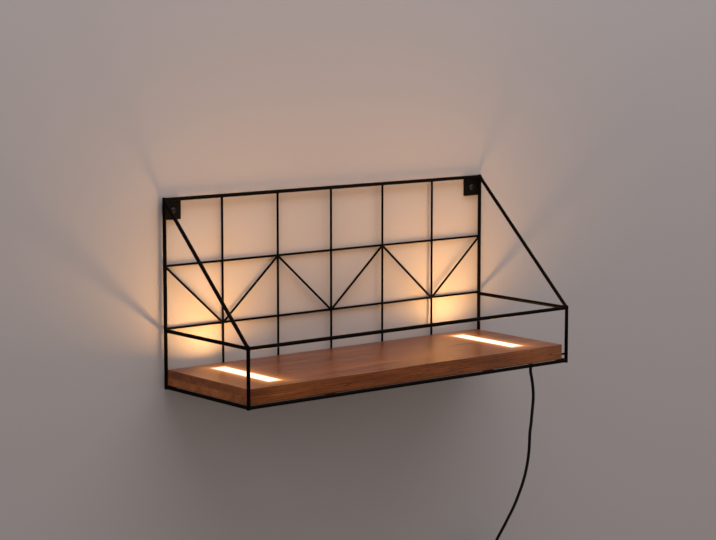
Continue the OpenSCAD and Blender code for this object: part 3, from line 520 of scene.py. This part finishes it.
# The upper layer's joints lie half a stave off the lower layer's. Back to front, the lower staves
# are numbers 4 to 1 and the upper ones 8 to 5. The upper layer's back face counts as number 9.
shifted = add_node(tree, "ShaderNodeMath", {"operation": "MULTIPLY_ADD", 1: -stave_width / 2},
                   {0: layer, 2: axes["Y"]}).outputs[0]
back_lane = 4.5 - board_high[1] / stave_width
lanes = add_node(tree, "ShaderNodeMath",
                 {"operation": "MULTIPLY_ADD", 1: 1 / stave_width, 2: back_lane},
                 {0: shifted}).outputs[0]
lane = add_node(tree, "ShaderNodeMath", {"operation": "FLOOR"}, {0: lanes}).outputs[0]
stave = add_node(tree, "ShaderNodeMath", {"operation": "MULTIPLY_ADD", 1: 5.0},
                 {0: layer, 2: lane}).outputs[0]
chance = add_node(tree, "ShaderNodeTexWhiteNoise", {"noise_dimensions": "1D"}, {"W": stave}).outputs
# Each stave lies off the pith of its own log, by the nearest place plus a chance share of the range.
pith_range, nearest_pith = (0.4, 0.05, 0.03), (-0.1, 0.12, 0.205)
pith = add_node(tree, "ShaderNodeVectorMath",
                {"operation": "MULTIPLY_ADD", 1: pith_range, 2: nearest_pith},
                {0: chance["Color"]}).outputs[0]
log = add_node(tree, "ShaderNodeVectorMath", {"operation": "ADD"}, {0: place, 1: pith}).outputs[0]
drawn_out = add_node(tree, "ShaderNodeMapping", {"Scale": (0.12, 1, 1)}, {"Vector": log}).outputs[0]
rings = add_node(tree, "ShaderNodeTexWave",
                 {"wave_type": "RINGS", "rings_direction": "X", "wave_profile": "SAW",
                  "Scale": wave_unit / ring_pitch, "Distortion": 3.2, "Detail": 2.5,
                  "Detail Scale": 0.35, "Detail Roughness": 0.55}, {"Vector": drawn_out}).outputs["Fac"]
# Each noise has a name, a scale along X that draws it out, a grain size, a detail and a roughness.
patterns = {}
for pattern, along, grain_size, detail, rough in (
        ("fibres", 0.03, 1.6 * mm, 4.0, 0.65), ("broad", 0.09, 12 * mm, 2.5, 0.65),
        ("pores", 0.07, 0.9 * mm, 1.0, 0.5)):
    stretched = add_node(tree, "ShaderNodeMapping", {"Scale": (along, 1, 1)}, {"Vector": log}).outputs[0]
    patterns[pattern] = add_node(
        tree, "ShaderNodeTexNoise", {"Scale": 1 / grain_size, "Detail": detail, "Roughness": rough},
        {"Vector": stretched}).outputs["Fac"]
pore = add_node(tree, "ShaderNodeMapRange",
                {"From Min": 0.58, "From Max": 0.72, "To Min": 0.0, "To Max": 0.9},
                {"Value": patterns["pores"]}).outputs["Result"]
# The tone of each stave from number 0 on, as a ramp in ten steps
stave_tones = (0.43, 0.52, 0.72, 0.62, 0.66, 0.5, 0.4, 0.28, 0.2, 0.85)
tenths = add_node(tree, "ShaderNodeMath", {"operation": "MULTIPLY", 1: 0.1}, {0: stave}).outputs[0]
tone = add_node(tree, "ShaderNodeValToRGB", {"label": "tone of each stave"}, {"Fac": tenths})
tone.color_ramp.interpolation = "CONSTANT"
for number, grey in enumerate(stave_tones):
    position = max(0, 0.1 * number - 0.05)
    stop = tone.color_ramp.elements[number] if number < 2 else tone.color_ramp.elements.new(position)
    stop.position, stop.color = position, (grey, grey, grey, 1)
staves_across = (board_high[1] - board_low[1]) / stave_width
print("staves:", round(staves_across, 1), "across, rings", ring_pitch / mm, "mm apart")

# %% Hardwood: mix the patterns
# The grain is 0.16 rings + 0.4 fibres + 0.44 broad bands, and 0.28 of the stave's tone is added.
grain = add_node(tree, "ShaderNodeMath", {"operation": "MULTIPLY", 1: 0.16}, {0: rings}).outputs[0]
for pattern, share in (("fibres", 0.4), ("broad", 0.44)):
    grain = add_node(tree, "ShaderNodeMath", {"operation": "MULTIPLY_ADD", 1: share},
                     {0: patterns[pattern], 2: grain}).outputs[0]
toned = add_node(tree, "ShaderNodeMath", {"operation": "MULTIPLY_ADD", 1: 0.28},
                 {0: tone.outputs["Color"], 2: grain}).outputs[0]
grain_colour = ramp(
    tree, toned, [(0.42, "#36190a"), (0.56, "#5b2d14"), (0.68, "#7a421f"), (0.84, "#9f5f2c")])
wood_colour = add_node(tree, "ShaderNodeMix", {"data_type": "RGBA", 7: linear("#2c150b")},
                       {0: pore, 6: grain_colour}).outputs[2]
# Painted shade: the long front face, and the wood up to 0.8 mm behind it, is multiplied darker and
# redder.
painted_shade_front = add_node(tree, "ShaderNodeMapRange",
                {"From Min": board_low[1] + 0.3 * mm, "From Max": board_low[1] + 0.8 * mm,
                 "To Min": 1.0, "To Max": 0.0}, {"Value": axes["Y"]}).outputs["Result"]
front_shaded_wood = add_node(tree, "ShaderNodeMix",
                 {"data_type": "RGBA", "blend_type": "MULTIPLY", 7: (0.67, 0.56, 0.49, 1.0)},
                 {0: painted_shade_front, 6: wood_colour}).outputs[2]
tree.links.new(front_shaded_wood, shader.inputs["Base Color"])
gloss = add_node(tree, "ShaderNodeMapRange",
                 {"From Min": 0.3, "From Max": 0.8, "To Min": 0.26, "To Max": 0.4},
                 {"Value": grain}).outputs["Result"]
tree.links.new(gloss, shader.inputs["Roughness"])
relief = add_node(tree, "ShaderNodeMath", {"operation": "MULTIPLY_ADD", 1: -0.9},
                  {0: pore, 2: patterns["fibres"]}).outputs[0]
bump = add_node(tree, "ShaderNodeBump", {"Strength": 0.7, "Distance": 0.05 * mm}, {"Height": relief})
tree.links.new(bump.outputs["Normal"], shader.inputs["Normal"])
finishes["board_wood"] = wood
print("hardwood:", len(tree.nodes), "nodes")

# %% Hardwood: painted glow beside the light strips
# Painted glow: round each lens the wood is given an orange emission that dies away within a
# few millimetres, painted light standing for the strips' light on it. The two strips lie at the
# same distance from the line between them, so |x - line| - distance folds both onto one. Past
# half a tray's width and length, and below the top, the distance grows, and the painted glow is
# e to the minus distance / 7 mm.
painted_glow_depth, painted_glow_reach = 0.5 * mm, 7 * mm
strip_low, strip_high = (np.array(corner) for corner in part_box("left_strip_tray"))
other_low, other_high = (np.array(corner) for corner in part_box("right_strip_tray"))
strip_half = (strip_high - strip_low) / 2
line = (strip_low + other_high) / 2
apart = (other_low - strip_low) / 2
past = place
for operation, amount in (
        ("SUBTRACT", (line[0], line[1], board_high[2])), ("ABSOLUTE", None),
        ("SUBTRACT", (apart[0], 0, 0)), ("ABSOLUTE", None),
        ("SUBTRACT", (strip_half[0], strip_half[1], painted_glow_depth)), ("MAXIMUM", (0, 0, 0))):
    settings = {"operation": operation} if amount is None else {"operation": operation, 1: amount}
    past = add_node(tree, "ShaderNodeVectorMath", settings, {0: past}).outputs[0]
distance = add_node(tree, "ShaderNodeVectorMath", {"operation": "LENGTH"}, {0: past}).outputs["Value"]
fall = add_node(tree, "ShaderNodeMath", {"operation": "MULTIPLY", 1: -1 / painted_glow_reach},
                {0: distance}).outputs[0]
painted_glow = add_node(tree, "ShaderNodeMath", {"operation": "EXPONENT"}, {0: fall}).outputs[0]
painted_glow_colour = add_node(tree, "ShaderNodeVectorMath", {"operation": "SCALE", 0: linear("#c87a34")[:3]},
                       {"Scale": painted_glow}).outputs[0]
tree.links.new(painted_glow_colour, shader.inputs["Emission Color"])
shader.inputs["Emission Strength"].default_value = 0.8
print("from the strips' middle line to each strip:", round(float(apart[0]), 4))

# %% [markdown]
# ## The light strips
#
# Each strip is an aluminium tray with a white circuit board, a row of small
# light chips and an opal acrylic lens. Lit, the lens is an even warm white
# that turns orange towards its rim, where less light reaches it. The lens
# could be glass with lamps under it, which renders slowly and noisily. An
# opal lens scatters so well that its own glow looks the same.

# %% Tray, board and chips
# Extruded and anodised aluminium: a soft metal sheen with fine lines along the strip.
finishes["tray_aluminium"] = speckled(
    "aluminium, extruded and anodised", "#b4b6b8", "#d0d1d2", 0.8 * mm, 0.004 * mm, 0.34, 0.05,
    stretch=(1, 0.04, 1), Metallic=1.0)
# White solder mask over copper: glossy lacquer, faintly uneven.
finishes["led_board_white"] = speckled(
    "solder mask, white", "#e4e1d8", "#f0eee6", 1.5 * mm, 0.01 * mm, 0.32, 0.05, IOR=1.5)
# Yellow phosphor cast into the chips: matt and granular, lit from inside.
finishes["led_phosphor"] = speckled(
    "phosphor in silicone, lit", "#f2cf6a", "#ffe08c", 0.4 * mm, 0.01 * mm, 0.5, 0.05,
    IOR=1.42, Emission_Color=linear("#ffd58a"), Emission_Strength=1.5)
print("finishes so far:", len(finishes))


# %% Opal lenses
def opal_lens(name, lens):
    """The glow's colour follows the edge distance: the larger of |x| / half the width and
    |y| / half the length of the lens, each raised so that only the rim changes."""
    low, high = (np.array(corner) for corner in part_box(lens))
    middle, half = (low + high) / 2, (high - low) / 2
    side_rim, end_rim = 4.5 * mm / half[0], 10 * mm / half[1]
    material, tree, shader, place = new_finish(name, Roughness=0.32, IOR=1.49, Emission_Strength=0.82)
    centred = add_node(tree, "ShaderNodeVectorMath", {"operation": "SUBTRACT", 1: tuple(middle)},
                       {0: place}).outputs[0]
    sized = add_node(tree, "ShaderNodeVectorMath", {"operation": "DIVIDE", 1: tuple(half)},
                     {0: centred}).outputs[0]
    distance = add_node(tree, "ShaderNodeVectorMath", {"operation": "ABSOLUTE"}, {0: sized}).outputs[0]
    split = add_node(tree, "ShaderNodeSeparateXYZ", links={"Vector": distance}).outputs
    across, along = (
        add_node(tree, "ShaderNodeMapRange", {"From Min": 1 - rim, "From Max": 1.0},
                 {"Value": split[axis]}).outputs["Result"]
        for axis, rim in (("X", side_rim), ("Y", end_rim)))
    rim = add_node(tree, "ShaderNodeMath", {"operation": "MAXIMUM"}, {0: across, 1: along}).outputs[0]
    tree.links.new(ramp(tree, rim, [(0.0, "#fff0dc"), (0.45, "#ffe2b4"), (1.0, "#dc9048")]),
                   shader.inputs["Emission Color"])
    # The base colour is painted the same way, warm white turning orange at the rim: painted light of the
    # lit lens.
    tree.links.new(ramp(tree, rim, [(0.3, "#efe6d2"), (1.0, "#b0703a")]), shader.inputs["Base Color"])
    return material


lens_finishes = {lens: opal_lens(f"opal acrylic, lit, {lens.split('_')[0]}", lens)
                 for lens in ("left_lens", "right_lens")}
finishes["opal_lens"] = lens_finishes["left_lens"]
print("lenses:", sorted(lens_finishes))

# %% [markdown]
# ## Plastics, rubber and small metals
#
# The switch, the power supply and the groove's cover are moulded ABS with an
# eroded texture that hides scratches. The lead is PVC that is a bit shinier.
# The rocker is polished ABS, so a thumb finds it. Cores, connector, pins and
# contacts are hidden by the case or the board, and show only from close by.

# %% Plastics and lead
finishes["black_plastic"] = speckled(
    "ABS, moulded, eroded texture", "#1a1918", "#242321", 0.7 * mm, 0.03 * mm, 0.52, 0.05, IOR=1.53)
finishes["rocker_gloss"] = speckled(
    "ABS, moulded, polished", "#100f0f", "#151414", 2.5 * mm, 0.002 * mm, 0.14, 0.03, IOR=1.53)
# PVC of the lead and its sleeve: nearly smooth, with soft unevenness from the die.
finishes["cord_rubber"] = speckled(
    "PVC, extruded, black", "#060403", "#0b0807", 2.0 * mm, 0.02 * mm, 0.42, 0.05,
    IOR=1.52, Specular_IOR_Level=0.1)
finishes["connector_cream"] = speckled(
    "nylon, moulded, cream", "#ddd6c4", "#e8e2d3", 1.5 * mm, 0.01 * mm, 0.4, 0.05, IOR=1.53)
print("finishes so far:", len(finishes))

# %% Cores
# PVC insulation in two colours: one core of each pair is red, the one behind it black.
cores, tree, shader, place = new_finish("PVC insulation, red and black", Roughness=0.38, IOR=1.52)
depth = add_node(tree, "ShaderNodeSeparateXYZ", links={"Vector": place}).outputs["Y"]
behind = add_node(tree, "ShaderNodeMath", {"operation": "GREATER_THAN", 1: float(lead_exit[1])},
                  {0: depth}).outputs[0]
mottle = add_node(tree, "ShaderNodeTexNoise", {"Scale": 1 / (1.2 * mm), "Detail": 2.0},
                  {"Vector": place}).outputs["Fac"]
red = ramp(tree, mottle, [(0.3, "#a82f22"), (0.7, "#c33d2c")])
core_colour = add_node(tree, "ShaderNodeMix", {"data_type": "RGBA", 7: linear("#1a1817")},
                       {0: behind, 6: red}).outputs[2]
tree.links.new(core_colour, shader.inputs["Base Color"])
finishes["core_red"] = cores
print("cores: red and black")

# %% Strap's weave
# Woven nylon: threads about 0.9 mm apart in both directions, over and under, so it is dull with
# small glints. The second direction's wave runs at 45 degrees to Y and Z, so that it crosses the
# strap on the coil's outside and on its sides alike, and is 1.4 times finer to make up for that.
woven, tree, shader, place = new_finish("nylon, woven", Roughness=0.72, IOR=1.53, Sheen_Weight=0.25)
threads = wave_unit / (0.9 * mm)
tipped = add_node(tree, "ShaderNodeMapping", {"Rotation": (math.radians(45), 0, 0)},
                  {"Vector": place}).outputs[0]
warp = add_node(tree, "ShaderNodeTexWave", {"bands_direction": "X", "Scale": threads},
                {"Vector": place}).outputs["Fac"]
weft = add_node(tree, "ShaderNodeTexWave", {"bands_direction": "Z", "Scale": threads * 1.4},
                {"Vector": tipped}).outputs["Fac"]
weave = add_node(tree, "ShaderNodeMath", {"operation": "MULTIPLY"}, {0: warp, 1: weft}).outputs[0]
tree.links.new(ramp(tree, weave, [(0.0, "#141210"), (1.0, "#37322d")]), shader.inputs["Base Color"])
bump = add_node(tree, "ShaderNodeBump", {"Strength": 0.8, "Distance": 0.12 * mm}, {"Height": weave})
tree.links.new(bump.outputs["Normal"], shader.inputs["Normal"])
finishes["tie_plastic"] = woven
print("weave:", len(tree.nodes), "nodes")

# %% Pins, contacts and circuit
# Ground steel: bright with fine rings round the pin. Stamped brass: warm and a little dull.
finishes["pin_steel"] = speckled(
    "steel, ground", "#a9aaac", "#c4c5c6", 0.5 * mm, 0.003 * mm, 0.28, 0.05,
    stretch=(1, 0.1, 0.1), Metallic=1.0)
finishes["contact_brass"] = speckled(
    "brass, stamped", "#b08a3c", "#cfa956", 1.5 * mm, 0.006 * mm, 0.32, 0.06, Metallic=1.0)
# Nickel on brass: mirror-like with faint drawing marks along the pin.
finishes["pin_nickel"] = speckled(
    "nickel, plated", "#bcbcbe", "#d2d2d3", 1.0 * mm, 0.002 * mm, 0.16, 0.04,
    stretch=(1, 0.1, 1), Metallic=1.0)
finishes["circuit_green"] = speckled(
    "solder mask, green", "#1f4a2b", "#2f6a3c", 2.2 * mm, 0.02 * mm, 0.35, 0.06, IOR=1.5)
print("finishes:", len(finishes))

# %% [markdown]
# ## Give every piece its finish
#
# The record names a slot for each solid. The solids' own meshes stay as they
# are: only their material changes. The new pieces take the finish of the slot
# that the code below names for each of them.

# %% Assign the finishes
def wear(piece, material):
    """Makes a material the only one of a piece."""
    piece.data.materials.clear()
    piece.data.materials.append(material)


for row in frame["record"]["subparts"]:
    wear(nodes[row["node"]], lens_finishes.get(row["node"], finishes[row["material_slot"]]))
for piece, slot in ((lead, "cord_rubber"), (lead_tail, "cord_rubber"), (strap, "tie_plastic"),
                    (frame_welds, "frame_paint"), (grid_welds, "grid_paint")):
    wear(piece, finishes[slot])

# %% [markdown]
# ## Wall and floor
#
# The lamp hangs on a plain painted wall, and a plain pale floor lies below.
# Both could be boxes, but then nothing could be seen from behind. They are
# sheets whose back is see-through, so the lamp shows from every side. They
# are stage, not part of the lamp.

# %% Wall and floor
def one_sided(name, base, grain, height):
    """Matt paint on the front of a sheet, nothing on its back: the Backfacing value mixes in a
    transparent shader."""
    material = speckled(name, base, base, grain, height, 0.85, 0.03, IOR=1.45, Specular_IOR_Level=0.2)
    tree = material.node_tree
    clear = add_node(tree, "ShaderNodeBsdfTransparent").outputs[0]
    back = add_node(tree, "ShaderNodeNewGeometry").outputs["Backfacing"]
    paint = tree.nodes["Principled BSDF"].outputs[0]
    mixed = add_node(tree, "ShaderNodeMixShader", links={0: back, 1: paint, 2: clear}).outputs[0]
    tree.links.new(mixed, tree.nodes["Material Output"].inputs["Surface"])
    return material


def sheet(name, corners, material):
    """A flat sheet of four corners, seen from the side where they run anticlockwise."""
    mesh = bpy.data.meshes.new(name)
    mesh.from_pydata(corners, [], [(0, 1, 2, 3)])
    mesh.materials.append(material)
    piece = bpy.data.objects.new(name, mesh)
    bpy.context.scene.collection.objects.link(piece)
    return piece


wall_paint = one_sided("emulsion paint, wall", "#979390", 3 * mm, 0.05 * mm)
floor_paint = one_sided("emulsion paint, floor", "#bdb0a5", 4 * mm, 0.05 * mm)
wall_y, floor_z = 0.4 * mm, -1.2
sheet("wall", [(-6, wall_y, floor_z), (6, wall_y, floor_z), (6, wall_y, 5), (-6, wall_y, 5)], wall_paint)
sheet("floor", [(-6, -8, floor_z), (6, -8, floor_z), (6, 6, floor_z), (-6, 6, floor_z)], floor_paint)
print("stage: wall and floor")

# %% [markdown]
# ## Light
#
# A room's even light comes from the world, from a long soft lamp overhead and
# from two large weak lamps at the sides. Its level is plain: a colour comes out
# about as it is written.
# The strips' own light is what paints the two warm patches on the wall, with
# the soft shadows of the wires in them. The glow of the lenses could be
# turned up until it does that, but it would blow out the picture of the lens.
# Instead a small lamp of the strip's size lies just above each lens and
# shines up. One weak lamp in front of the wall stands for the warm light that
# the board, the frame and the room send back there.

# %% World and lamps
world = bpy.data.worlds.new("room")
bpy.context.scene.world = world
world.use_nodes = True
room = world.node_tree.nodes["Background"]
room.inputs["Color"].default_value = linear("#f4edea")
room.inputs["Strength"].default_value = 0.66


def add_lamp(name, place, turn, size, power, colour):
    """A rectangular lamp that shines along its own -Z axis."""
    data = bpy.data.lights.new(name, "AREA")
    data.shape = "RECTANGLE"
    data.size, data.size_y = size
    data.energy = power
    data.color = linear(colour)[:3]
    lamp = bpy.data.objects.new(name, data)
    lamp.location = place
    lamp.rotation_euler = [math.radians(angle) for angle in turn]
    bpy.context.scene.collection.objects.link(lamp)
    return lamp


add_lamp("ceiling lamp", (0.2, -0.55, 1.15), (12, 0, 0), (2.4, 0.6), 21, "#f3effd")
add_lamp("left lamp", (-2.2, -0.7, 0.6), (73, 0, -74), (1.4, 1.4), 10, "#f4f1ff")
add_lamp("right lamp", (1.6, -0.9, -0.1), (92, 0, 65), (1.0, 1.0), 3, "#f4f1ff")
above_lens = 1.2 * mm
for lens in ("left_lens", "right_lens"):
    low, high = (np.array(corner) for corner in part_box(lens))
    over = (*((low + high) / 2)[:2], high[2] + above_lens)
    strip_lamp = add_lamp(f"strip light, {lens.split('_')[0]}", over, (180, 0, 0),
                          tuple((high - low)[:2]), 0.56, "#ffbb6c")
    strip_lamp.visible_camera = False
    strip_lamp.data.spread = math.radians(166)
spill = add_lamp("spill of both strips", (0, -0.17, -0.02), (92, 0, 0), (0.44, 0.14), 0.22, "#ffb25c")
spill.visible_camera = False
